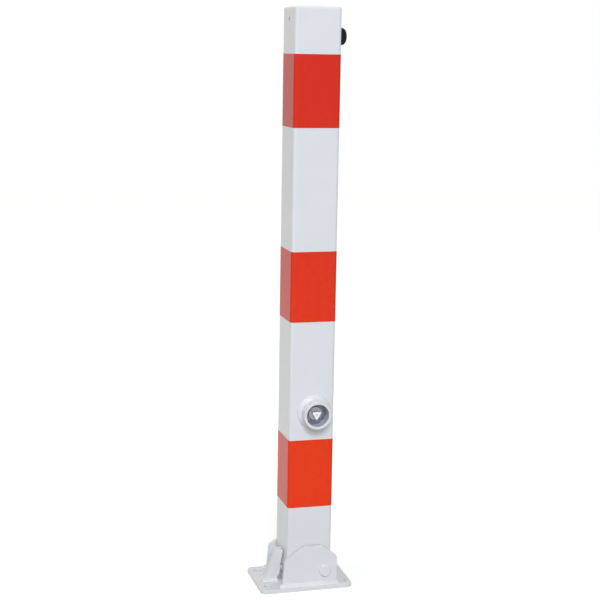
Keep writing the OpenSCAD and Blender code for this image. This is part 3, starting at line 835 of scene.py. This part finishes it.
# A closed bead from start to end in the corner between the faces along out and up
def straightBead(start, end, out, up, leg, seed, rings):
    start = Vector(start)
    end = Vector(end)
    out = Vector(out).normalized()
    up = Vector(up).normalized()
    length = (end - start).length
    ahead = (end - start) / length
    bm = bmesh.new()
    bmesh.ops.create_uvsphere(bm, u_segments=weld["segments"], v_segments=rings, radius=1)
    for v in bm.verts:
        share = math.acos(max(-1, min(1, v.co.z))) / math.pi
        along = share * (length + 2 * leg) - leg
        turn = math.atan2(v.co.y, v.co.x)
        near = min(along + leg, length + leg - along) / leg
        taper = 1 if near >= 1 else math.sqrt(max(0, 1 - (1 - near) ** 2))
        reach = beadRadius(turn, along, leg, seed) * taper
        v.co = start + ahead * along + (out * math.cos(turn) + up * math.sin(turn)) * reach
    faceOutwards(bm)
    return bm


# All the parts in one mesh
def joined(parts):
    bm = bmesh.new()
    for part in parts:
        mesh = bpy.data.meshes.new("part")
        part.to_mesh(mesh)
        part.free()
        bm.from_mesh(mesh)
        bpy.data.meshes.remove(mesh)
    return bm


def cheekBeads():
    leg = weld["cheekLeg"]
    rings = weld["cheekRings"]
    parts = []
    for seed, node, side in ((1.3, "front_cheek", -1), (4.7, "rear_cheek", 1)):
        low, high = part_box(node)
        face = low.y if side < 0 else high.y
        start = (low.x, face, plateTop)
        end = (high.x, face, plateTop)
        parts.append(straightBead(start, end, (0, side, 0), (0, 0, 1), leg, seed, rings))
    return joined(parts)


def weldPiece(name, bm, nodeName):
    finishPiece(name, bm, finishes["white_coat"], [nodeName], meshCare["weldSmoothAngle"])


weldPiece("cheekBeads", cheekBeads(), "cheek_welds")


def keeperBeads():
    leg = weld["keeperLeg"]
    rings = weld["keeperRings"]
    left = keeperLow.x
    right = left + keeperSize["thick"] / math.cos(keeperLean)
    front = keeperLow.y
    rear = keeperHigh.y
    upright = (0, 0, 1)
    leaning = (math.sin(keeperLean), 0, math.cos(keeperLean))
    sides = (
        (2.1, (left, front, plateTop), (left, rear, plateTop), (-1, 0, 0), leaning),
        (8.4, (right, front, plateTop), (right, rear, plateTop), (1, 0, 0), leaning),
        (3.6, (left, front, plateTop), (right, front, plateTop), (0, -1, 0), upright),
        (5.9, (left, rear, plateTop), (right, rear, plateTop), (0, 1, 0), upright),
    )
    parts = []
    for seed, start, end, out, up in sides:
        parts.append(straightBead(start, end, out, up, leg, seed, rings))
    return joined(parts)


weldPiece("keeperBeads", keeperBeads(), "keeper_welds")


# A ring whose ripples run on over the place where its length begins anew
def collarBead():
    leg = weld["collarLeg"]
    seed = weld["collarSeed"]
    middle = collarOuter + leg / 2
    whole = math.tau * middle
    root = Vector((lockX, collarHigh.y, lockZ))
    bm = bmesh.new()
    bmesh.ops.create_circle(
        bm, cap_ends=False, segments=weld["segments"], radius=weld["collarStart"]
    )
    bmesh.ops.translate(bm, vec=root + Vector((collarOuter, 0, 0)), verts=bm.verts)
    aroundLock(bm, weld["collarSteps"])
    for v in bm.verts:
        spoke = Vector((v.co.x - lockX, 0, v.co.z - lockZ))
        turn = math.atan2(collarHigh.y - v.co.y, spoke.length - collarOuter)
        along = (math.atan2(spoke.z, spoke.x) + math.pi) * middle
        fade = min(1, along / weld["collarFade"], (whole - along) / weld["collarFade"])
        here = beadRadius(turn, along, leg, seed)
        again = beadRadius(turn, along - whole, leg, seed)
        reach = here * fade + again * (1 - fade)
        spoke.normalize()
        rise = Vector((0, -math.sin(turn) * reach, 0))
        v.co = root + spoke * (collarOuter + math.cos(turn) * reach) + rise
    return bm


weldPiece("collarBead", collarBead(), "collar_weld")
print("weld beads made")

bufferSize = {
    "steps": 72,
    "edge": 6 * mm,
    "edgeStep": 10,
    "lip": 0.5 * mm,
    "smoothAngle": 40,
}


# A knob with its far edge rounded and a small lip where it meets the post
def rubberBuffer():
    low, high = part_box("buffer")
    centreY = (low.y + high.y) / 2
    centreZ = (low.z + high.z) / 2
    radius = (high.z - low.z) / 2
    edge = bufferSize["edge"]
    lip = bufferSize["lip"]
    step = bufferSize["edgeStep"]
    outline = [(low.x, radius - lip), (low.x + lip, radius), (high.x - edge, radius)]
    for degrees in range(step, 91, step):
        turn = math.radians(degrees)
        outline.append((high.x - edge + edge * math.sin(turn), radius - edge + edge * math.cos(turn)))
    outline.append((high.x, 0))
    bm = bmesh.new()
    verts = [bm.verts.new((x, centreY, centreZ + r)) for x, r in outline]
    for a, b in zip(verts, verts[1:]):
        bm.edges.new((a, b))
    turnAround(bm, (0, centreY, centreZ), (1, 0, 0), bufferSize["steps"])
    bmesh.ops.holes_fill(bm, edges=bm.edges, sides=0)
    faceOutwards(bm)
    return bm


finishPiece(
    "rubberBuffer", rubberBuffer(), finishes["black_rubber"], ["buffer"], bufferSize["smoothAngle"]
)
print("buffer made")

scene.view_settings.view_transform = "Standard"
